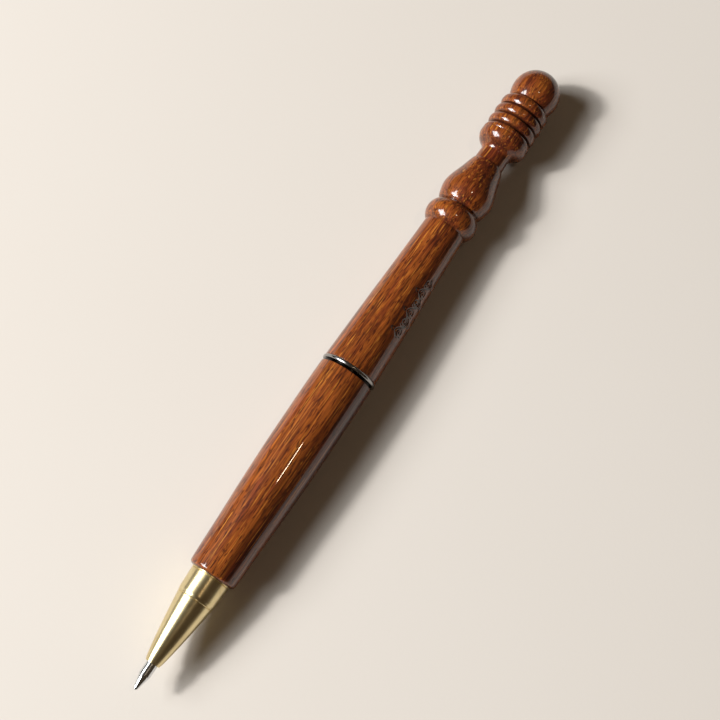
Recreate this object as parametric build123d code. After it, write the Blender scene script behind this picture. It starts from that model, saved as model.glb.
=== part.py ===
from build123d import *

import math
import os

# Twist-action ballpoint pen with turned wooden barrels, lying on its side.
# All sizes are millimetres.  A station is a distance from the writing tip along the
# pen's axis.  The axis runs along X, with the writing point at -X and the turned
# finial at +X.  The origin is under the middle of the pen, on the surface it lies on.

# --- driving dimensions -------------------------------------------------------------

LENGTH = 150.0            # overall, with the point out
RING_RADIUS = 6.00        # crest of the centre ring, the widest place of the pen
AXIS_HEIGHT = RING_RADIUS

POINT_TRAVEL = 6.5        # how far the refill draws back
TWIST_DEGREES = 180.0     # turn of the upper half that draws it back
RUNNING_GAP = 0.05        # radial gap between pieces that turn or slide on each other

TUBE_OUTER = 3.50         # 7 mm brass tubes that line both barrels
TUBE_INNER = 3.15

# stations of the visible joints between pieces
CONE_MOUTH = 5.70
CONE_REAR = 19.65
COUPLER_FRONT = 19.90
BARREL_FRONT = 25.05
BARREL_REAR = 72.20
RING_FRONT = 72.80
RING_REAR = 73.45
UPPER_FRONT = 73.55

# radii of the visible shapes
CONE_MOUTH_RADIUS = 1.50
CONE_ROUND_END = 7.10     # where the rounded mouth meets the straight cone
CONE_ROUND_END_RADIUS = 1.88
CONE_REAR_RADIUS = 3.78
SHIM_RADIUS = 3.88
COUPLER_FRONT_RADIUS = 3.95
COUPLER_REAR_RADIUS = 4.08
COUPLER_LIP_RADIUS = 4.16
BARREL_FRONT_RADIUS = 5.06
BAND_RADIUS = 5.90        # truly cylindrical stretch of the lower barrel
BAND_START = 58.0
BAND_END = 68.0
FRONT_ROUNDING = 0.95
RING_EDGE_RADIUS = 5.85   # of the crown of the centre ring
RING_HUB_RADIUS = 5.30
WASHER_RADIUS = 4.70

# refill
POINT_RADIUS = 1.17       # straight shank of the writing point
POINT_CONE_REAR = 3.10    # where its cone begins
POINT_CONE_RADIUS = 1.08
POINT_BORE = 0.60
REFILL_TUBE_OUTER = 1.60
REFILL_TUBE_INNER = 1.35
REFILL_THREAD_RADIUS = 1.20
WRITING_BALL_RADIUS = 0.35
BALL_SEAT_GAP = 0.03
REFILL_SHOULDER = 13.0
REFILL_TUBE_REAR = 66.0

# nose thread, M5 x 0.8, drawn as a plain cylinder
THREAD_RADIUS = 2.50
THREAD_FRONT = 16.55
SOCKET_FRONT = 16.35
REFILL_BORE = 1.75

# twist mechanism
HOUSING_FRONT = 58.0
GUIDE_FRONT = 64.0
GUIDE_REAR = 89.6
GUIDE_OUTER = 2.20
HOUSING_REAR = 73.85
CAM_FRONT = 73.95
CAM_REAR = 88.20
CAM_OUTER = 2.75
CLIP_THICKNESS = 0.50
DRUM_OUTER = TUBE_INNER - RUNNING_GAP
DRUM_REAR = 96.0
DRUM_END_WALL = 0.6
PIN_STATION = 78.0
PIN_RADIUS = 0.40
PIN_REACH = 2.65
SLOT_SIDE_GAP = 0.05
CAM_SIDE_GAP = 0.10
CARRIER_FRONT = 66.2
CARRIER_REAR = 80.0

UPPER_TUBE_FRONT = 73.95
UPPER_TUBE_REAR = 105.5

# turned finial
TAPER_END = 108.55
TAPER_END_RADIUS = 4.56
NECK = 128.35             # sharp foot of the large bead
NECK_RADIUS = 3.17
LIP_GROOVE = 132.40       # fine groove round the crest of the large bead
BEAD_ROW_START = 133.70   # middle of the first groove of the row of ring beads
RING_BEAD_PITCH = 2.45
RING_BEAD_COUNT = 3
RING_BEAD_FRONT_RADIUS = 4.92
RING_BEAD_RADIUS = 5.38
RING_BEAD_REAR_RADIUS = 5.26
GROOVE_RADIUS = 4.30
GROOVE_MOUTH = 0.74
GROOVE_FLOOR = 0.28
FINIAL_BALL_RADIUS = 5.20
FINIAL_BALL_FRONT = 141.65    # the ball is fuller than a sphere towards the rings
FINIAL_BALL_FRONT_RADIUS = 4.48


# --- helpers ------------------------------------------------------------------------

def turned(*edges):
    """Solid of revolution about X from the edges of a closed outline of
    (station, radius) points."""
    outline = make_face(Plane.XZ * Curve(list(edges)))
    return revolve(outline, Axis.X)


def stepped(*points):
    """Solid of revolution whose outline is straight from point to point."""
    return turned(*Polyline(*points, close=True).edges())


def tube(front, rear, outer, inner=0.0):
    """Plain tube or rod between two stations."""
    return stepped((front, inner), (rear, inner), (rear, outer), (front, outer))


def save(shape, node):
    """Move a piece from stations to the pen's own frame and write its STEP file."""
    placed = Pos(-LENGTH / 2, 0, AXIS_HEIGHT) * shape
    placed.label = node
    export_step(placed, f"parts/{node}.step")


# --- lower half ---------------------------------------------------------------------

def lower_barrel():
    """Wooden barrel of the lower half: rounded at the nose, gently swelling, with a
    cylindrical band before the centre ring."""
    flat_radius = BARREL_FRONT_RADIUS - FRONT_ROUNDING
    round_end = (BARREL_FRONT + FRONT_ROUNDING, BARREL_FRONT_RADIUS)
    rear_edge = (BARREL_REAR - 0.12, 5.83)
    nose_round = RadiusArc((BARREL_FRONT, flat_radius), round_end, FRONT_ROUNDING)
    swell = Spline(round_end, (32.7, 5.28), (42.2, 5.61), (BAND_START, BAND_RADIUS),
                   tangents=[(1, 0.05), (1, 0)])
    band = Line((BAND_START, BAND_RADIUS), (BAND_END, BAND_RADIUS))
    fall = Spline((BAND_END, BAND_RADIUS), rear_edge, tangents=[(1, 0), (1, -0.03)])
    close = Polyline(rear_edge, (BARREL_REAR, 5.72), (BARREL_REAR, TUBE_OUTER),
                     (BARREL_FRONT, TUBE_OUTER), (BARREL_FRONT, flat_radius))
    return turned(nose_round, swell, band, fall, *close.edges())


def lower_sleeve():
    """Brass tube glued into the lower barrel."""
    return tube(BARREL_FRONT + 0.1, BARREL_REAR - 0.1, TUBE_OUTER, TUBE_INNER)


def nose_coupler():
    """Turned brass coupler: threaded spigot for the cone, visible tapered band with a
    fine lip at the wood, and a rear spigot pressed into the lower tube."""
    return stepped(
        (THREAD_FRONT, REFILL_BORE),
        (BARREL_FRONT + 6.0, REFILL_BORE),
        (BARREL_FRONT + 6.0, TUBE_INNER),
        (BARREL_FRONT, TUBE_INNER),
        (BARREL_FRONT, COUPLER_LIP_RADIUS),
        (BARREL_FRONT - 0.16, COUPLER_LIP_RADIUS),
        (BARREL_FRONT - 0.24, COUPLER_REAR_RADIUS - 0.12),
        (BARREL_FRONT - 0.36, COUPLER_REAR_RADIUS),
        (COUPLER_FRONT + 0.50, COUPLER_FRONT_RADIUS),
        (COUPLER_FRONT, COUPLER_FRONT_RADIUS - 0.15),
        (COUPLER_FRONT, THREAD_RADIUS - 0.25),
        (CONE_REAR - 0.35, THREAD_RADIUS - 0.25),
        (CONE_REAR - 0.60, THREAD_RADIUS),
        (THREAD_FRONT + 0.35, THREAD_RADIUS),
        (THREAD_FRONT, THREAD_RADIUS - 0.35))


def centre_ring():
    """Plated ring between the barrels: a convex bead, and a hub that stands the bead
    off from the lower barrel and leaves a narrow dark groove."""
    middle = (RING_FRONT + RING_REAR) / 2
    crown = ThreePointArc((RING_FRONT, RING_EDGE_RADIUS), (middle, RING_RADIUS),
                          (RING_REAR, RING_EDGE_RADIUS))
    rest = Polyline((RING_REAR, RING_EDGE_RADIUS), (RING_REAR, TUBE_INNER),
                    (BARREL_REAR, TUBE_INNER), (BARREL_REAR, RING_HUB_RADIUS),
                    (RING_FRONT, RING_HUB_RADIUS), (RING_FRONT, RING_EDGE_RADIUS))
    return turned(crown, *rest.edges())


def friction_washer():
    """Nylon washer behind the centre ring, on which the upper half turns."""
    return tube(RING_REAR, HOUSING_REAR - 0.05, WASHER_RADIUS, TUBE_INNER)


def mechanism_housing():
    """Brass plug of the twist mechanism, pressed into the rear of the lower tube."""
    return stepped(
        (HOUSING_FRONT, REFILL_BORE), (GUIDE_FRONT, REFILL_BORE),
        (GUIDE_FRONT, GUIDE_OUTER), (HOUSING_REAR, GUIDE_OUTER),
        (HOUSING_REAR, TUBE_INNER), (HOUSING_FRONT + 0.5, TUBE_INNER),
        (HOUSING_FRONT, TUBE_INNER - 0.3))


def slotted_guide():
    """Steel guide tube with two straight slots that stop the carrier from turning,
    and a groove for the retaining clip."""
    guide = tube(GUIDE_FRONT, GUIDE_REAR, GUIDE_OUTER, REFILL_BORE)
    slot_width = 2 * (PIN_RADIUS + SLOT_SIDE_GAP)
    slot_length = POINT_TRAVEL + 2 * PIN_RADIUS + 0.4
    slot_middle = PIN_STATION + POINT_TRAVEL / 2
    guide -= Pos(slot_middle, 0, 0) * Box(slot_length, slot_width, 2 * GUIDE_OUTER + 1)
    clip_front = CAM_REAR + RUNNING_GAP
    guide -= tube(clip_front, clip_front + CLIP_THICKNESS, GUIDE_OUTER + 0.5, GUIDE_OUTER - 0.22)
    return guide


def retaining_clip():
    """Open spring clip in the guide's groove that holds the rotor on."""
    front = CAM_REAR + RUNNING_GAP
    clip = tube(front, front + CLIP_THICKNESS, CAM_OUTER - 0.10, GUIDE_OUTER - 0.22)
    opening = Pos(front + CLIP_THICKNESS / 2, 0, -2.2) * Box(CLIP_THICKNESS + 1, 1.4, 2.4)
    return clip - opening


# --- nose cone and its shim ---------------------------------------------------------

def nose_shim():
    """Thin brass shim between the cone and the coupler, bevelled towards the cone."""
    bevel = 0.15
    bore = THREAD_RADIUS + RUNNING_GAP
    return stepped((CONE_REAR, bore), (COUPLER_FRONT, bore), (COUPLER_FRONT, SHIM_RADIUS),
                   (CONE_REAR + bevel, SHIM_RADIUS), (CONE_REAR, SHIM_RADIUS - bevel))


def nose_cone():
    """Brass cone with a rounded mouth, a close bore for the writing point, a cavity for
    the refill's shoulder and a threaded socket for the coupler."""
    mouth_bore = POINT_RADIUS + RUNNING_GAP
    mouth_edge = (CONE_MOUTH, CONE_MOUTH_RADIUS)
    round_end = (CONE_ROUND_END, CONE_ROUND_END_RADIUS)
    rounding = ThreePointArc(mouth_edge, (CONE_MOUTH + 0.60, CONE_MOUTH_RADIUS + 0.20), round_end)
    rest = Polyline(
        round_end,
        (CONE_REAR - 0.08, CONE_REAR_RADIUS),
        (CONE_REAR, CONE_REAR_RADIUS - 0.08),
        (CONE_REAR, THREAD_RADIUS + RUNNING_GAP),
        (SOCKET_FRONT, THREAD_RADIUS + RUNNING_GAP),
        (SOCKET_FRONT, REFILL_BORE),
        (12.2, REFILL_BORE),
        (11.0, mouth_bore),
        (CONE_MOUTH, mouth_bore),
        mouth_edge)
    return turned(rounding, *rest.edges())


# --- rotor --------------------------------------------------------------------------

def helical_slot():
    """Cutter for one helical slot of the cam, along the path of one end of the
    follower pin as the rotor turns."""
    lead = POINT_TRAVEL * 360.0 / TWIST_DEGREES
    run_out = 0.4
    height = POINT_TRAVEL + 2 * run_out
    path_radius = (RUNNING_GAP + GUIDE_OUTER + CAM_OUTER) / 2
    path = Helix(pitch=lead, height=height, radius=path_radius, lefthand=True)
    section_plane = Plane(origin=path @ 0, x_dir=(1, 0, 0), z_dir=path % 0)
    section = section_plane * Rectangle(1.4, 2 * (PIN_RADIUS + CAM_SIDE_GAP))
    cutter = sweep(section, path=path, is_frenet=True)
    # the helix climbs along Z from the X side: lay it along X, with its start above
    # the axis less the angle of the run-out
    run_out_angle = run_out / lead * 360.0
    laid = Rot(0, 90, 0) * Rot(0, 0, 180.0 + run_out_angle) * cutter
    return Pos(PIN_STATION - run_out, 0, 0) * laid


def cam_sleeve():
    """Inner sleeve of the rotor, with two helical slots that drive the pin."""
    cam = tube(CAM_FRONT, CAM_REAR, CAM_OUTER, GUIDE_OUTER + RUNNING_GAP)
    slot = helical_slot()
    return cam - slot - Rot(180, 0, 0) * slot


def mechanism_drum():
    """Closed outer drum of the rotor, which carries the upper half."""
    rear_round = 0.5
    return stepped(
        (CAM_FRONT, CAM_OUTER), (DRUM_REAR - DRUM_END_WALL, CAM_OUTER),
        (DRUM_REAR - DRUM_END_WALL, 0), (DRUM_REAR, 0),
        (DRUM_REAR, DRUM_OUTER - rear_round), (DRUM_REAR - rear_round, DRUM_OUTER),
        (CAM_FRONT + 0.2, DRUM_OUTER), (CAM_FRONT, DRUM_OUTER - 0.15))


# --- upper half ---------------------------------------------------------------------

def ring_beads():
    """Edges of the row of ring beads, from the floor of its first groove to the foot of
    its last bead, and that foot.  Each bead has a steep front, a rounded crest and an
    edge at its rear; the last one slopes down towards the ball."""
    half_mouth, half_floor = GROOVE_MOUTH / 2, GROOVE_FLOOR / 2
    edges = []
    floor_start = (BEAD_ROW_START - half_floor, GROOVE_RADIUS)
    for index in range(RING_BEAD_COUNT):
        station = BEAD_ROW_START + index * RING_BEAD_PITCH
        end = station + RING_BEAD_PITCH
        front = (station + half_mouth, RING_BEAD_FRONT_RADIUS)
        crest = (station + RING_BEAD_PITCH / 2, RING_BEAD_RADIUS)
        rear = (end - half_mouth, RING_BEAD_REAR_RADIUS)
        foot = (end - half_floor, GROOVE_RADIUS)
        if index == RING_BEAD_COUNT - 1:
            crest = (station + RING_BEAD_PITCH / 2, RING_BEAD_RADIUS - 0.08)
            rear = (end, RING_BEAD_REAR_RADIUS - 0.26)
            foot = (FINIAL_BALL_FRONT - half_floor, GROOVE_RADIUS)
        edges += Polyline(floor_start, (station + half_floor, GROOVE_RADIUS), front).edges()
        edges += [ThreePointArc(front, crest, rear), Line(rear, foot)]
        floor_start = foot
    return edges, floor_start


def upper_barrel():
    """Wooden barrel of the upper half, turned in one piece with its finial: collar
    bead, vase, neck, large bead with a fine groove, ring beads and ball."""
    front_edge = (UPPER_FRONT + 0.15, 5.83)
    taper_end = (TAPER_END, TAPER_END_RADIUS)
    collar_start = (108.80, 4.48)
    collar_end = (114.05, 4.42)
    neck = (NECK, NECK_RADIUS)
    lip_front = (LIP_GROOVE - 0.16, 5.38)
    lip_rear = (LIP_GROOVE + 0.14, 5.32)
    bead_rear = (BEAD_ROW_START - GROOVE_MOUTH / 2, 5.20)
    row_floor = (BEAD_ROW_START - GROOVE_FLOOR / 2, GROOVE_RADIUS)
    bore_end = UPPER_TUBE_REAR + 0.3
    washer_room = WASHER_RADIUS + 0.20

    taper = Spline(front_edge, (91.0, 5.21), taper_end, tangents=[(1, -0.035), (1, -0.02)])
    collar = ThreePointArc(collar_start, (111.15, 5.70), collar_end)
    vase = Spline(collar_end, (115.55, 5.30), (117.6, 5.66), (120.0, 5.25), (122.9, 4.29),
                  (125.5, 3.50), neck, tangents=[(0.6, 1), (1, -0.03)])
    shoulder = Spline(neck, (129.15, 3.66), (129.98, 4.60), (130.95, 5.21), lip_front,
                      tangents=[(1, 0.3), (1, -0.05)])
    lip = Polyline(lip_front, (LIP_GROOVE, 5.24), lip_rear)
    land = ThreePointArc(lip_rear, (LIP_GROOVE + 0.50, 5.34), bead_rear)
    beads, row_end = ring_beads()
    ball_front = (FINIAL_BALL_FRONT, FINIAL_BALL_FRONT_RADIUS)
    ball_crest = (LENGTH - FINIAL_BALL_RADIUS, FINIAL_BALL_RADIUS)
    ball_shoulder = TangentArc(ball_crest, ball_front, tangent=(-1, 0))
    ball_end = RadiusArc(ball_crest, (LENGTH, 0), FINIAL_BALL_RADIUS)
    inside = Polyline(
        (LENGTH, 0), (bore_end + 1.9, 0), (bore_end, TUBE_OUTER), (UPPER_FRONT + 0.35, TUBE_OUTER),
        (UPPER_FRONT + 0.35, washer_room), (UPPER_FRONT, washer_room), (UPPER_FRONT, 5.72),
        front_edge)
    edges = [taper, Line(taper_end, collar_start), collar, vase, shoulder, *lip.edges(), land]
    edges += [Line(bead_rear, row_floor), *beads, Line(row_end, ball_front)]
    edges += [ball_shoulder, ball_end]
    return turned(*edges, *inside.edges())


def upper_sleeve():
    """Brass tube glued into the upper barrel; it slides over the drum."""
    return tube(UPPER_TUBE_FRONT, UPPER_TUBE_REAR, TUBE_OUTER, TUBE_INNER)


# --- refill -------------------------------------------------------------------------

def point_holder():
    """Steel writing point: socket for the ball, long cone, straight shank and a spigot
    pressed into the ink tube."""
    seat_radius = WRITING_BALL_RADIUS + BALL_SEAT_GAP
    lip_station = 0.30
    lip_bore = math.sqrt(seat_radius ** 2 - (WRITING_BALL_RADIUS - lip_station) ** 2)
    seat_rear = WRITING_BALL_RADIUS + math.sqrt(seat_radius ** 2 - 0.15 ** 2)
    seat = ThreePointArc((lip_station, lip_bore), (WRITING_BALL_RADIUS, seat_radius),
                         (seat_rear, 0.15))
    body = Polyline(
        (seat_rear, 0.15), (6.0, 0.15), (6.0, POINT_BORE),
        (REFILL_SHOULDER + 5.0, POINT_BORE), (REFILL_SHOULDER + 5.0, REFILL_TUBE_INNER),
        (REFILL_SHOULDER + 1.0, REFILL_TUBE_INNER), (REFILL_SHOULDER + 1.0, REFILL_TUBE_OUTER),
        (REFILL_SHOULDER, REFILL_TUBE_OUTER), (REFILL_SHOULDER, POINT_RADIUS),
        (POINT_CONE_REAR, POINT_RADIUS), (POINT_CONE_REAR - 0.16, POINT_CONE_RADIUS),
        (lip_station, lip_bore + 0.06),
        (lip_station, lip_bore))
    return turned(seat, *body.edges())


def writing_ball():
    """Ball of the writing point."""
    return Pos(WRITING_BALL_RADIUS, 0, 0) * Sphere(WRITING_BALL_RADIUS)


def ink_tube():
    """Brass ink tube of the refill."""
    return tube(REFILL_SHOULDER + 1.0, REFILL_TUBE_REAR, REFILL_TUBE_OUTER, REFILL_TUBE_INNER)


def ink_column():
    """Ink that fills the tube."""
    return tube(REFILL_SHOULDER + 5.0, REFILL_TUBE_REAR - 6.0, REFILL_TUBE_INNER)


def refill_plug():
    """Plastic rear plug of the refill, pressed into the tube and screwed into the
    carrier."""
    return stepped(
        (REFILL_TUBE_REAR - 4.0, 0), (REFILL_TUBE_REAR - 4.0, REFILL_TUBE_INNER),
        (REFILL_TUBE_REAR, REFILL_TUBE_INNER), (REFILL_TUBE_REAR, REFILL_TUBE_OUTER),
        (CARRIER_FRONT, REFILL_TUBE_OUTER), (CARRIER_FRONT, REFILL_THREAD_RADIUS),
        (CARRIER_FRONT + 5.0, REFILL_THREAD_RADIUS), (CARRIER_FRONT + 5.0, 0))


def refill_carrier():
    """Carrier that slides in the guide and holds the refill by its thread."""
    radius = REFILL_BORE - RUNNING_GAP
    carrier = stepped(
        (CARRIER_FRONT, REFILL_THREAD_RADIUS), (CARRIER_FRONT + 5.3, REFILL_THREAD_RADIUS),
        (CARRIER_FRONT + 5.3, 0), (CARRIER_REAR, 0), (CARRIER_REAR, radius - 0.3),
        (CARRIER_REAR - 0.3, radius), (CARRIER_FRONT, radius))
    return carrier - Pos(PIN_STATION, 0, 0) * Cylinder(PIN_RADIUS, 4 * radius)


def follower_pin():
    """Steel cross pin of the carrier, which rides in both pairs of slots."""
    return Pos(PIN_STATION, 0, 0) * Cylinder(PIN_RADIUS, 2 * PIN_REACH)


PIECES = [
    lower_barrel, lower_sleeve, nose_coupler, centre_ring, friction_washer,
    mechanism_housing, slotted_guide, retaining_clip,
    nose_shim, nose_cone,
    cam_sleeve, mechanism_drum,
    upper_barrel, upper_sleeve,
    point_holder, ink_tube, ink_column, refill_plug, refill_carrier, follower_pin,
    writing_ball,
]

os.makedirs("parts", exist_ok=True)
for piece in PIECES:
    save(piece(), piece.__name__)
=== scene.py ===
"""Looks of a twist-action ballpoint pen in turned, lacquered wood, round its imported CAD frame.

Units are metres.  The pen's axis runs along X, with the writing point at -X.  A station is a
distance from the writing tip along the axis.  Visible turned pieces are made again from the
section of their CAD node, with finer steps and with the detail that the CAD leaves out.
"""

import math

import bmesh
import bpy
import numpy as np
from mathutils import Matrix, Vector


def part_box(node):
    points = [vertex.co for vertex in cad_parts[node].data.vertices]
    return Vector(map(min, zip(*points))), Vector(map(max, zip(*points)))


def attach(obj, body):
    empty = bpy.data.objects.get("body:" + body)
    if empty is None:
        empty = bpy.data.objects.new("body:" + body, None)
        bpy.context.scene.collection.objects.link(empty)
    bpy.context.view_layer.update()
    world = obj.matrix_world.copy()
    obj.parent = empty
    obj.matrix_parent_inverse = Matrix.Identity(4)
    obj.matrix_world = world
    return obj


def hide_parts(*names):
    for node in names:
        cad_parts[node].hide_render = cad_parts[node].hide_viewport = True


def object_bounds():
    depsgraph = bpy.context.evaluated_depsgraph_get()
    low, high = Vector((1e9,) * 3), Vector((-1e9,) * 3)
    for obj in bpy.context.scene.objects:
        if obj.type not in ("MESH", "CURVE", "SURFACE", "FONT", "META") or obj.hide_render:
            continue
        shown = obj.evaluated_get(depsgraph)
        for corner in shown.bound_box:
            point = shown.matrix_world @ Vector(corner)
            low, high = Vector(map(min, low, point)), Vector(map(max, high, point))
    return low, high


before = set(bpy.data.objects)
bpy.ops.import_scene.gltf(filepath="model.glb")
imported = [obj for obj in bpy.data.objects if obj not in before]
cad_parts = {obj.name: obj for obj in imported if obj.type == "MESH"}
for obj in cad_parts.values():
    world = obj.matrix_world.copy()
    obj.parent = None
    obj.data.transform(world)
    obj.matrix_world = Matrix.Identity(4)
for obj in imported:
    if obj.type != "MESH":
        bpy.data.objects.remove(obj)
cad_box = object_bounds()
scene = bpy.context.scene

MM = 0.001
RING_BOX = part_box("centre_ring")
AXIS_HEIGHT = (RING_BOX[0].z + RING_BOX[1].z) / 2
TIP = cad_box[0].x


def at(millimetres):
    """X of a station, given in millimetres from the writing tip."""
    return TIP + millimetres * MM


# --- sections of the CAD nodes and meshes turned from them ---------------------------

WELD = 1e-7                  # points nearer than this are one
STRAIGHT = 1e-4              # radians; a smaller turn is no turn


def section(node):
    """The half section of a turned CAD node above the pen's axis: its (x, radius) points in
    order, and whether they close in a ring instead of ending on the axis."""
    mesh = bmesh.new()
    mesh.from_mesh(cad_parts[node].data)
    bmesh.ops.remove_doubles(mesh, verts=mesh.verts, dist=WELD)
    centre = (0, 0, AXIS_HEIGHT)
    for normal, clear_below in (((0, 1, 0), False), ((0, 0, 1), True)):
        everything = mesh.verts[:] + mesh.edges[:] + mesh.faces[:]
        bmesh.ops.bisect_plane(mesh, geom=everything, dist=WELD, plane_co=centre,
                               plane_no=normal, clear_inner=clear_below)
    cut = [v for v in mesh.verts if abs(v.co.y) < 2 * WELD and v.co.z > AXIS_HEIGHT - 2 * WELD]
    inside = set(cut)
    links = {v: [e.other_vert(v) for e in v.link_edges if e.other_vert(v) in inside] for v in cut}
    ends = [v for v in cut if len(links[v]) == 1]
    here, before = (ends or cut)[0], None
    points = []
    while here is not None:
        points.append((here.co.x, here.co.z - AXIS_HEIGHT))
        onward = [v for v in links[here] if v is not before]
        before, here = here, onward[0] if onward else None
        if here is not None and len(points) == len(cut):
            here = None
    mesh.free()
    return points, not ends


def turn_at(before, here, after):
    """Angle by which an outline turns at a point."""
    arriving = math.atan2(here[1] - before[1], here[0] - before[0])
    leaving = math.atan2(after[1] - here[1], after[0] - here[0])
    return abs(math.remainder(leaving - arriving, math.tau))


CORNER = math.radians(25)
UNEVEN_CORNER = math.radians(5)
UNEVEN = 2.5                 # ratio of lengths


def sharp(before, here, after):
    """Whether an outline has a corner at a point: a wide turn, or a lesser one between
    a long and a short piece, which a curve's even steps never have."""
    turn = turn_at(before, here, after)
    lengths = math.dist(before, here), math.dist(here, after)
    return turn > CORNER or turn > UNEVEN_CORNER and max(lengths) > UNEVEN * min(lengths)


def refined(points, closed, step):
    """The outline with its points at most step apart, curved through the given points
    except at corners.  Points on a straight line are dropped first."""
    count = len(points)
    ring = [points[i] for i in range(count)
            if not closed and i in (0, count - 1)
            or turn_at(points[i - 1], points[i], points[(i + 1) % count]) > STRAIGHT]
    count = len(ring)
    spans = count if closed else count - 1
    made = []
    for i in range(spans):
        p1, p2 = np.array(ring[i]), np.array(ring[(i + 1) % count])
        p0, p3 = np.array(ring[i - 1]), np.array(ring[(i + 2) % count])
        open_start = not closed and i == 0
        open_end = not closed and i == spans - 1
        chord = np.linalg.norm(p2 - p1)
        sharp_start = open_start or sharp(p0, p1, p2)
        sharp_end = open_end or sharp(p1, p2, p3)
        slope1 = p2 - p1 if sharp_start else tangent(p0, p1, p2) * chord
        slope2 = p2 - p1 if sharp_end else tangent(p1, p2, p3) * chord
        if sharp_start and not sharp_end:
            slope1 = 1.5 * (p2 - p1) - 0.5 * slope2
        if sharp_end and not sharp_start:
            slope2 = 1.5 * (p2 - p1) - 0.5 * slope1
        pieces = max(1, math.ceil(chord / step))
        for k in range(pieces):
            u = k / pieces
            made.append((2 * u**3 - 3 * u**2 + 1) * p1 + (u**3 - 2 * u**2 + u) * slope1
                        + (3 * u**2 - 2 * u**3) * p2 + (u**3 - u**2) * slope2)
    if not closed:
        made.append(np.array(ring[-1]))
    return np.array(made)


def tangent(before, here, after):
    """Unit direction of an outline at a point, from the arc through its neighbours."""
    back, ahead = here - before, after - here
    near, far = np.linalg.norm(back), np.linalg.norm(ahead)
    direction = back / near * far + ahead / far * near
    return direction / np.linalg.norm(direction)


def even_angles(count):
    """Angles of a full turn in equal steps."""
    return np.arange(count) * math.tau / count


SHARP_EDGE = math.radians(28)


def lathe(name, outline, closed, angles, body, material, shape=None, attribute=None):
    """A closed solid turned from an outline about the pen's axis, riding on a body.

    shape(x, radius, angle) gives a change of radius for arrays of points.  attribute is a
    name and a function of the same arrays whose values the material reads.
    Angles run from the top of the pen towards +Y."""
    outline = np.asarray(outline)
    rows, columns = len(outline), len(angles)
    x = np.repeat(outline[:, 0], columns)
    radius = np.repeat(outline[:, 1], columns)
    angle = np.tile(angles, rows)
    moved = radius + (shape(x, radius, angle) if shape else 0)
    moved = np.where(radius < WELD, 0, moved)
    corners = np.stack([x, moved * np.sin(angle), AXIS_HEIGHT + moved * np.cos(angle)], 1)

    row = np.arange(rows if closed else rows - 1)[:, None]
    column = np.arange(columns)[None, :]
    next_row, next_column = (row + 1) % rows, (column + 1) % columns
    faces = np.stack([row * columns + column, row * columns + next_column,
                      next_row * columns + next_column, next_row * columns + column], -1)
    mesh = bpy.data.meshes.new(name)
    mesh.from_pydata(corners.tolist(), [], faces.reshape(-1, 4).tolist())
    if attribute:
        values = attribute[1](x, radius, angle)
        layer = mesh.attributes.new(attribute[0], "FLOAT", "POINT")
        layer.data.foreach_set("value", np.asarray(values, np.float32))
    tidy = bmesh.new()
    tidy.from_mesh(mesh)
    bmesh.ops.remove_doubles(tidy, verts=tidy.verts, dist=WELD)
    bmesh.ops.recalc_face_normals(tidy, faces=tidy.faces)
    tidy.to_mesh(mesh)
    tidy.free()
    mesh.shade_smooth()
    mesh.set_sharp_from_angle(angle=SHARP_EDGE)
    piece = bpy.data.objects.new(name, mesh)
    scene.collection.objects.link(piece)
    mesh.materials.append(material)
    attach(piece, body)
    return piece


# --- materials -----------------------------------------------------------------------

class Nodes:
    """A material's node tree, with short calls to add nodes and join them."""

    def __init__(self, name):
        self.material = bpy.data.materials.new(name)
        self.material.use_nodes = True
        self.tree = self.material.node_tree
        self.tree.nodes.clear()
        self.surface = self.tree.nodes.new("ShaderNodeBsdfPrincipled")
        output = self.tree.nodes.new("ShaderNodeOutputMaterial")
        self.tree.links.new(self.surface.outputs["BSDF"], output.inputs["Surface"])

    def add(self, kind, settings=None, **inputs):
        node = self.tree.nodes.new("ShaderNode" + kind)
        for key, value in (settings or {}).items():
            setattr(node, key, value)
        for key, value in inputs.items():
            self.put(node, key, value)
        return node

    def put(self, node, key, value):
        """Sets an input, by name or number, to a constant or to another node's output."""
        socket = node.inputs[key if isinstance(key, int) else key.replace("_", " ")]
        if isinstance(value, bpy.types.NodeSocket):
            self.tree.links.new(value, socket)
        else:
            socket.default_value = value

    def finish(self, **inputs):
        """Sets the shader's inputs and gives the material."""
        for key, value in inputs.items():
            self.put(self.surface, key, value)
        return self.material

    def place(self, scale):
        """Object coordinates, stretched."""
        where = self.add("TexCoord").outputs["Object"]
        return self.add("Mapping", Vector=where, Scale=scale).outputs["Vector"]

    def noise(self, scale, detail=3.0, roughness=0.55, distortion=0.0):
        node = self.add("TexNoise", Vector=self.place(scale), Scale=1.0, Detail=detail,
                        Roughness=roughness, Distortion=distortion)
        return node.outputs["Fac"]

    def ramp(self, value, *stops):
        """A colour ramp of (position, grey or colour) stops."""
        node = self.add("ValToRGB", Fac=value)
        band = node.color_ramp
        while len(band.elements) < len(stops):
            band.elements.new(0.5)
        for element, (position, colour) in zip(band.elements, stops):
            element.position = position
            element.color = (*colour, 1) if isinstance(colour, tuple) else (colour,) * 3 + (1,)
        return node.outputs["Color"]

    def mix(self, factor, first, second, blend="MIX"):
        node = self.add("Mix", {"data_type": "RGBA", "blend_type": blend})
        for number, value in ((0, factor), (6, first), (7, second)):
            self.put(node, number, (*value, 1) if isinstance(value, tuple) else value)
        return node.outputs[2]

    def math(self, operation, first, second=0.0):
        node = self.add("Math", {"operation": operation})
        self.put(node, 0, first)
        self.put(node, 1, second)
        return node.outputs[0]

    def bump(self, height, distance, strength=1.0):
        node = self.add("Bump", Height=height, Distance=distance, Strength=strength)
        return node.outputs["Normal"]


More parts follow.
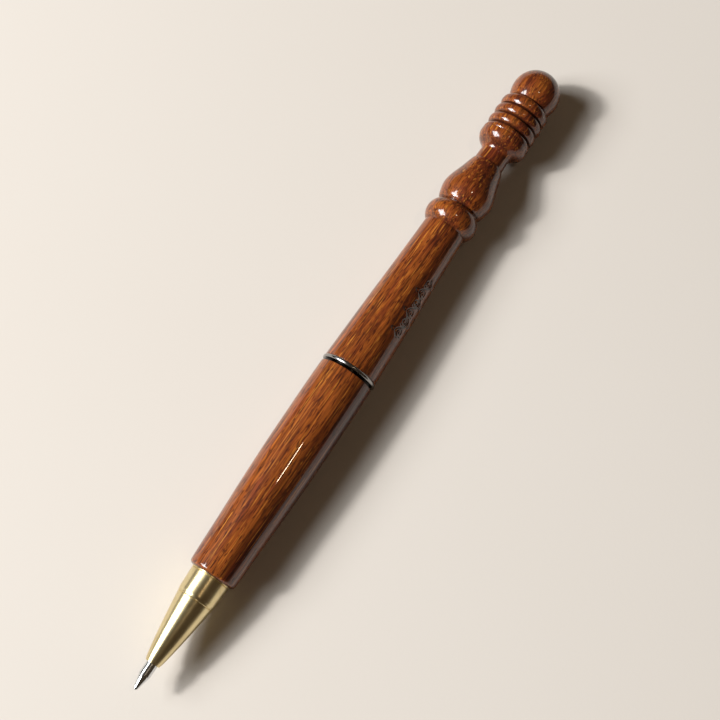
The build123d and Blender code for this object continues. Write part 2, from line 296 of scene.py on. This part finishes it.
def wood(name, offset):
    """Reddish brown wood with long straight grain, fine dark pores and golden streaks under
    a thick gloss lacquer.  offset moves the figure, so that two barrels differ."""
    n = Nodes(name)
    where = n.add("TexCoord").outputs["Object"]
    shifted = n.add("Mapping", Vector=where, Location=offset,
                    Rotation=(0.0, 0.012, 0.02)).outputs["Vector"]

    def grain(scale, **settings):
        stretched = n.add("Mapping", Vector=shifted, Scale=scale).outputs["Vector"]
        return n.add("TexNoise", Vector=stretched, Scale=1.0, **settings).outputs["Fac"]

    figure = grain((20, 300, 300), Detail=3.0, Roughness=0.55, Distortion=0.3)
    bands = grain((22, 1500, 1500), Detail=4.0, Roughness=0.62, Distortion=0.12)
    fibres = grain((120, 4600, 4600), Detail=2.0, Roughness=0.6, Distortion=0.1)
    pores = grain((520, 4300, 4300), Detail=1.0, Roughness=0.5, Distortion=0.2)
    flecks = grain((70, 3400, 3400), Detail=1.5, Roughness=0.5, Distortion=0.0)

    colour = n.ramp(figure, (0.34, (0.085, 0.014, 0.006)), (0.45, (0.165, 0.034, 0.008)),
                    (0.55, (0.250, 0.063, 0.010)), (0.66, (0.185, 0.040, 0.008)))
    band = n.ramp(bands, (0.36, 0.38), (0.47, 0.85), (0.60, 1.0), (0.70, 1.25))
    colour = n.mix(0.9, colour, band, "MULTIPLY")
    fibre_tone = n.ramp(fibres, (0.38, 0.45), (0.50, 1.0), (0.64, 1.35))
    colour = n.mix(0.75, colour, fibre_tone, "MULTIPLY")
    light_fleck = n.ramp(flecks, (0.60, 0.0), (0.70, 1.0))
    colour = n.mix(n.math("MULTIPLY", light_fleck, 0.65), colour, (0.520, 0.190, 0.026))
    pore = n.ramp(pores, (0.56, 0.0), (0.64, 1.0))
    colour = n.mix(n.math("MULTIPLY", pore, 0.85), colour, (0.040, 0.008, 0.004))
    # Walls that face along the axis, such as the sides of the grooves, are darkened nearly to
    # black: partly the darker end grain, partly painted shade in the grooves.
    facing = n.add("SeparateXYZ", Vector=n.add("TexCoord").outputs["Normal"]).outputs["X"]
    end_grain_and_groove_shade = n.ramp(n.math("ABSOLUTE", facing), (0.55, 0.0), (0.95, 0.85))
    colour = n.mix(end_grain_and_groove_shade, colour, (0.030, 0.007, 0.004))
    engraved = n.add("Attribute", {"attribute_name": "engraved"}).outputs["Fac"]
    colour = n.mix(engraved, colour, (0.006, 0.004, 0.003))

    ripple = n.noise((260, 620, 620), detail=2.0)
    lacquer = n.bump(ripple, 0.00002, 0.12)
    fibre = n.bump(n.math("SUBTRACT", fibres, pore), 0.00003, 0.25)
    gloss = n.ramp(bands, (0.3, 0.46), (0.7, 0.34))
    n.put(n.surface, "Coat Normal", lacquer)
    return n.finish(Base_Color=colour, Roughness=gloss, Normal=fibre, Coat_Weight=1.0,
                    Coat_Roughness=0.03, Coat_IOR=1.5, Specular_IOR_Level=0.08)


TOOL_LINES = 9000.0          # scale of the noise along the axis
TOOL_LINE_DEPTH = 0.0000012


def turned_metal(name, colour, dull, roughness):
    """Metal turned on a lathe: fine rings round the axis, faint handling marks and tarnish.
    An attribute, set on sunk places, darkens them nearly to black as painted shade."""
    n = Nodes(name)
    rings = n.noise((TOOL_LINES, 12, 12), detail=4.0, roughness=0.7)
    cloud = n.noise((160, 260, 260), detail=5.0, roughness=0.65, distortion=0.4)
    scuffs = n.noise((900, 3800, 3800), detail=3.0, roughness=0.7, distortion=1.2)
    tone = n.mix(n.ramp(cloud, (0.35, 0.0), (0.75, 1.0)), colour, dull)
    # painted shade: where the attribute is set, the colour goes nearly to black
    painted_shade = n.add("Attribute", {"attribute_name": "painted_shade"}).outputs["Fac"]
    tone = n.mix(painted_shade, tone, (0.012, 0.010, 0.009))
    shine = n.math("ADD", n.math("MULTIPLY", rings, 0.10), n.math("MULTIPLY", scuffs, 0.12))
    shine = n.math("ADD", shine, roughness - 0.11)
    surface = n.bump(rings, TOOL_LINE_DEPTH)
    round_axis = n.add("Tangent", {"direction_type": "RADIAL", "axis": "X"}).outputs["Tangent"]
    return n.finish(Base_Color=tone, Roughness=shine, Metallic=1.0, Normal=surface,
                    Anisotropic=0.6, Anisotropic_Rotation=0.25, Tangent=round_axis)


def moulded_plastic(name, colour, roughness):
    """Moulded plastic with a faint grain and a little variation in gloss."""
    n = Nodes(name)
    grain = n.noise((2600, 2600, 2600), detail=2.0)
    cloud = n.noise((300, 300, 300), detail=3.0)
    darker = tuple(0.9 * c for c in colour)
    tone = n.mix(cloud, colour, darker)
    shine = n.math("ADD", n.math("MULTIPLY", cloud, 0.1), roughness)
    return n.finish(Base_Color=tone, Roughness=shine, Normal=n.bump(grain, 0.000004, 0.4),
                    IOR=1.5)


def ink_material():
    """Thick black ink with a wet shine."""
    n = Nodes("ink")
    swirl = n.noise((500, 900, 900), detail=2.0)
    tone = n.mix(swirl, (0.008, 0.008, 0.012), (0.018, 0.018, 0.026))
    return n.finish(Base_Color=tone, Roughness=0.12, Coat_Weight=0.5,
                    Normal=n.bump(swirl, 0.00001, 0.3))


def floor_material():
    """Plain warm paper-white surface with a barely visible tooth."""
    n = Nodes("floor")
    cloud = n.noise((6, 6, 6), detail=4.0)
    tooth = n.noise((1500, 1500, 1500), detail=2.0)
    tone = n.mix(cloud, (0.590, 0.535, 0.475), (0.615, 0.565, 0.510))
    return n.finish(Base_Color=tone, Roughness=0.85, Specular_IOR_Level=0.2,
                    Normal=n.bump(tooth, 0.00003, 0.3))


LOWER_WOOD = wood("lower_wood_lacquered", (0.0, 0.0, 0.0))
UPPER_WOOD = wood("upper_wood_lacquered", (0.021, 0.0031, 0.0017))
BRASS = turned_metal("turned_brass", (0.840, 0.720, 0.420), (0.640, 0.510, 0.270), 0.33)
TUBE_BRASS = turned_metal("drawn_brass", (0.800, 0.600, 0.280), (0.600, 0.420, 0.190), 0.34)
PLATING = turned_metal("ring_plating", (0.420, 0.410, 0.400), (0.230, 0.220, 0.215), 0.24)
STEEL = turned_metal("ground_steel", (0.720, 0.740, 0.750), (0.560, 0.580, 0.600), 0.20)
BALL_METAL = turned_metal("polished_carbide", (0.560, 0.570, 0.590), (0.480, 0.490, 0.510),
                          0.12)
NYLON = moulded_plastic("moulded_nylon", (0.800, 0.795, 0.760), 0.45)
INK = ink_material()


# --- turned wooden barrels -----------------------------------------------------------

WOOD_STEP = 0.35 * MM
WOOD_COLUMNS = 160
BORE = 3.6 * MM              # anything nearer the axis is the bore for the tube
OUTSIDE = 4.5 * MM           # anything further out, near the ornament, is the outer surface


def turning_marks(x, radius, angle):
    """The little that a hand-turned barrel is out of round and uneven along its length."""
    out_of_round = 0.006 * np.sin(2 * angle + 1.1 + 30 * x) + 0.004 * np.sin(3 * angle + 0.4)
    waves = 0.004 * np.sin(x * 520) + 0.003 * np.sin(x * 1310 + 2 * np.sin(x * 170))
    return np.where(radius > BORE, (out_of_round + waves) * MM, 0)


def lower_barrel():
    outline = refined(*section("lower_barrel"), WOOD_STEP)
    piece = lathe("turned_lower_barrel", outline, True, even_angles(WOOD_COLUMNS), "lower_half",
                  LOWER_WOOD, turning_marks)
    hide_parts("lower_barrel")


ORNAMENT_START = 83.4        # station in mm
ORNAMENT_LENGTH = 14.0
ORNAMENT_ANGLE = math.radians(-54)    # round from the top of the pen
ORNAMENT_RADIUS = 5.25       # of the barrel there, in mm
ORNAMENT_REACH = 2.3         # half of its width, in mm
ORNAMENT_COLUMNS = 48
PLAIN_COLUMNS = 120          # round the rest of the barrel
GROOVE_HALF_WIDTH = 0.20     # mm
GROOVE_DEPTH = 0.11          # mm


def ornament_lines():
    """Points of a plain scroll of vine, in mm along the pen and round it: a waving stem,
    a volute in each of its bends, and a small leaf opposite."""
    waves, swing = 3, 1.15
    wave = ORNAMENT_LENGTH / waves
    along = np.linspace(0, ORNAMENT_LENGTH, 260)
    lines = [np.stack([along, swing * np.sin(math.tau * along / wave)], 1)]
    for bend in range(2 * waves):
        side = 1 if bend % 2 == 0 else -1
        middle = np.array([(bend + 0.5) * wave / 2, -0.15 * side])
        turn = np.linspace(0, 1, 70)
        reach = 0.95 - 0.72 * turn
        angle = side * (math.radians(215) - 1.35 * math.tau * turn)
        lines.append(middle + np.stack([reach * np.cos(angle), reach * np.sin(angle)], 1))
        tip = np.linspace(0, 1, 30)
        lines.append(np.stack([middle[0] + 0.75 * (tip - 0.5) * side,
                               side * (1.55 + 0.55 * np.sin(math.pi * tip))], 1))
    return np.concatenate(lines)


def engraving(x, radius, angle):
    """How deep the ornament is cut, from 0 to 1."""
    along = (x - at(ORNAMENT_START)) / MM
    turn = (angle - ORNAMENT_ANGLE + math.pi) % math.tau - math.pi
    across = turn * ORNAMENT_RADIUS
    near = ((along > -1) & (along < ORNAMENT_LENGTH + 1) & (radius > OUTSIDE)
            & (abs(across) < ORNAMENT_REACH + 1))
    spots = np.stack([along[near], across[near]], 1)
    lines = ornament_lines()
    distance = np.full(len(spots), np.inf)
    for part in np.array_split(lines, 12):
        gap = np.linalg.norm(spots[:, None] - part[None], axis=2).min(axis=1)
        distance = np.minimum(distance, gap)
    depth = np.zeros(len(x))
    depth[near] = np.clip(1.25 - 1.25 * distance / GROOVE_HALF_WIDTH, 0, 1)
    return depth


def upper_barrel():
    """The upper barrel and finial, with finer rows and columns under the ornament."""
    outline = refined(*section("upper_barrel"), WOOD_STEP)
    start, end = at(ORNAMENT_START - 0.4), at(ORNAMENT_START + ORNAMENT_LENGTH + 0.4)
    rows = [outline[0]]
    for here, ahead in zip(outline[:-1], outline[1:]):
        outside = min(here[1], ahead[1]) > OUTSIDE
        fine = outside and start < min(here[0], ahead[0]) and max(here[0], ahead[0]) < end
        pieces = 3 if fine else 1
        rows += [here + (ahead - here) * k / pieces for k in range(1, pieces + 1)]
    half = (ORNAMENT_REACH + 0.3) / ORNAMENT_RADIUS
    fine = ORNAMENT_ANGLE + np.linspace(-half, half, ORNAMENT_COLUMNS)
    coarse = ORNAMENT_ANGLE + np.linspace(half, math.tau - half, PLAIN_COLUMNS + 2)[1:-1]

    def cut(x, radius, angle):
        return turning_marks(x, radius, angle) - GROOVE_DEPTH * MM * engraving(x, radius, angle)

    piece = lathe("turned_upper_barrel", rows, False, np.concatenate([fine, coarse]),
                  "upper_half", UPPER_WOOD, cut, ("engraved", engraving))
    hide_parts("upper_barrel")


# --- brass, ring and point -----------------------------------------------------------

METAL_STEP = 0.4 * MM
METAL_COLUMNS = 128

THREAD_PITCH = 0.8 * MM
THREAD_DEPTH = 0.40 * MM
THREAD_CREST = 2.51 * MM
THREAD_ENDS = (at(16.8), at(19.1))
THREAD_STEP = 0.1 * MM

HUB_RADIUS = 5.6 * MM        # between the hub of the centre ring and its crown


def nose_thread(x, radius, angle):
    """Cuts the right-hand thread of the coupler's spigot into its plain cylinder."""
    turn = (x / THREAD_PITCH + angle / math.tau) % 1
    depth = THREAD_DEPTH * (1 - np.clip(2.6 * abs(turn - 0.5) - 0.15, 0, 1))
    run_out = np.clip((x - THREAD_ENDS[0]) / THREAD_PITCH, 0, 1) * np.clip(
        (THREAD_ENDS[1] - x) / THREAD_PITCH, 0, 1)
    threaded = (radius > THREAD_CREST - 0.3 * MM) & (radius < THREAD_CREST)
    return np.where(threaded, -depth * np.clip(2 * run_out, 0, 1), 0)


def ring_hub_shade(x, radius, angle):
    """Marks the sunk hub of the centre ring, which is painted nearly black as shade."""
    return np.where(radius < HUB_RADIUS, 1.0, 0.0)


def metal_piece(node, name, body, material, shape=None, step=METAL_STEP, attribute=None):
    """Makes a CAD node again as a fine turned piece, which stands for it."""
    points, closed = section(node)
    piece = lathe(name, refined(points, closed, step), closed, even_angles(METAL_COLUMNS), body,
                  material, shape, attribute)
    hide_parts(node)


lower_barrel()
upper_barrel()
metal_piece("nose_cone", "turned_nose_cone", "nose_cone", BRASS)
metal_piece("nose_coupler", "turned_nose_coupler", "lower_half", BRASS,
            nose_thread, THREAD_STEP)
metal_piece("nose_shim", "turned_nose_shim", "nose_shim", BRASS)
# the centre ring's sunk hub is painted nearly black, as shade in its gap
metal_piece("centre_ring", "turned_centre_ring", "lower_half", PLATING,
            attribute=("painted_shade", ring_hub_shade))
metal_piece("point_holder", "turned_point_holder", "refill", STEEL)
metal_piece("mechanism_drum", "turned_mechanism_drum", "rotor", TUBE_BRASS)
metal_piece("friction_washer", "turned_friction_washer", "lower_half", NYLON)

CAD_FINISHES = {
    "lower_sleeve": TUBE_BRASS, "upper_sleeve": TUBE_BRASS, "mechanism_housing": TUBE_BRASS,
    "ink_tube": TUBE_BRASS, "slotted_guide": STEEL, "cam_sleeve": STEEL,
    "retaining_clip": STEEL, "follower_pin": STEEL, "refill_plug": NYLON,
    "refill_carrier": NYLON, "ink_column": INK, "writing_ball": BALL_METAL,
}
for node, finish in CAD_FINISHES.items():
    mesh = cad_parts[node].data
    mesh.materials.clear()
    mesh.materials.append(finish)


# --- floor, lights and camera --------------------------------------------------------

FLOOR_HALF = 1.5


def floor():
    mesh = bpy.data.meshes.new("floor")
    sides = ((-1, -1), (1, -1), (1, 1), (-1, 1))
    corners = [(FLOOR_HALF * x, FLOOR_HALF * y, 0) for x, y in sides]
    mesh.from_pydata(corners, [], [(0, 1, 2, 3)])
    mesh.materials.append(floor_material())
    plane = bpy.data.objects.new("floor", mesh)
    scene.collection.objects.link(plane)


def area_light(name, direction, distance, size, watts, colour=(1, 1, 1), aside=(0.0, 0.0)):
    """A soft rectangular light that looks at the middle of the pen.  aside shifts it in its
    own plane."""
    data = bpy.data.lights.new(name, "AREA")
    data.shape = "RECTANGLE"
    data.size, data.size_y = size
    data.energy = watts
    data.color = colour
    lamp = bpy.data.objects.new(name, data)
    towards = Vector(direction).normalized()
    turn = towards.to_track_quat("Z", "Y")
    lamp.rotation_mode = "QUATERNION"
    lamp.rotation_quaternion = turn
    lamp.location = towards * distance + turn @ Vector((*aside, 0))
    scene.collection.objects.link(lamp)


WINDOW_DIRECTION = (-0.40, 0.66, 0.64)
WINDOW_DISTANCE = 1.5
PANE = (0.42, 0.32)
PANE_GAP = 0.035
PANE_WATTS = 7.5
PANE_COLOUR = (0.93, 0.97, 1.0)
KEY_DISTANCE = WINDOW_DISTANCE - 0.05
LAMP_DIRECTION = (0.09, -0.28, 0.956)
LAMP_DISTANCE = 1.5

floor()
area_light("key", WINDOW_DIRECTION, KEY_DISTANCE, (0.15, 0.15), 17.0)
for column in (-1, 1):
    for row in (-1, 1):
        shift = (column * (PANE[0] + PANE_GAP) / 2, row * (PANE[1] + PANE_GAP) / 2)
        area_light(f"window_{column}_{row}", WINDOW_DIRECTION, WINDOW_DISTANCE, PANE,
                   PANE_WATTS, PANE_COLOUR, shift)
area_light("lamp", LAMP_DIRECTION, LAMP_DISTANCE, (0.11, 0.05), 0.9, (1.0, 0.80, 0.58))

world = bpy.data.worlds.new("room")
world.use_nodes = True
background = world.node_tree.nodes["Background"]
background.inputs["Color"].default_value = (1.0, 0.70, 0.45, 1)
background.inputs["Strength"].default_value = 0.055
scene.world = world

CAMERA_ELEVATION = math.radians(74.45)
CAMERA_HEADING = math.radians(32.96)
CAMERA_DISTANCE = 0.2783
LENS = 70.0                  # mm, on a sensor 36 mm wide
SENSOR = 36.0
AIM_STATION = 76.43
AIM_ASIDE = 0.00045
AIM_DOWN = 0.0003


def camera():
    """Looks steeply down on the pen, along its length from the nose side."""
    data = bpy.data.cameras.new("camera")
    data.lens = LENS
    data.sensor_width = SENSOR
    data.clip_start = 0.01
    camera_object = bpy.data.objects.new("camera", data)
    flat = math.cos(CAMERA_ELEVATION)
    ahead = Vector((flat * math.cos(CAMERA_HEADING), flat * math.sin(CAMERA_HEADING),
                    -math.sin(CAMERA_ELEVATION)))
    right = Vector((math.sin(CAMERA_HEADING), -math.cos(CAMERA_HEADING), 0))
    up = right.cross(ahead)
    target = Vector((at(AIM_STATION), 0, AXIS_HEIGHT)) + right * AIM_ASIDE - up * AIM_DOWN
    camera_object.location = target - ahead * CAMERA_DISTANCE
    camera_object.rotation_mode = "QUATERNION"
    camera_object.rotation_quaternion = ahead.to_track_quat("-Z", "Y")
    scene.collection.objects.link(camera_object)
    scene.camera = camera_object


camera()
scene.view_settings.view_transform = "Standard"
scene.view_settings.look = "None"
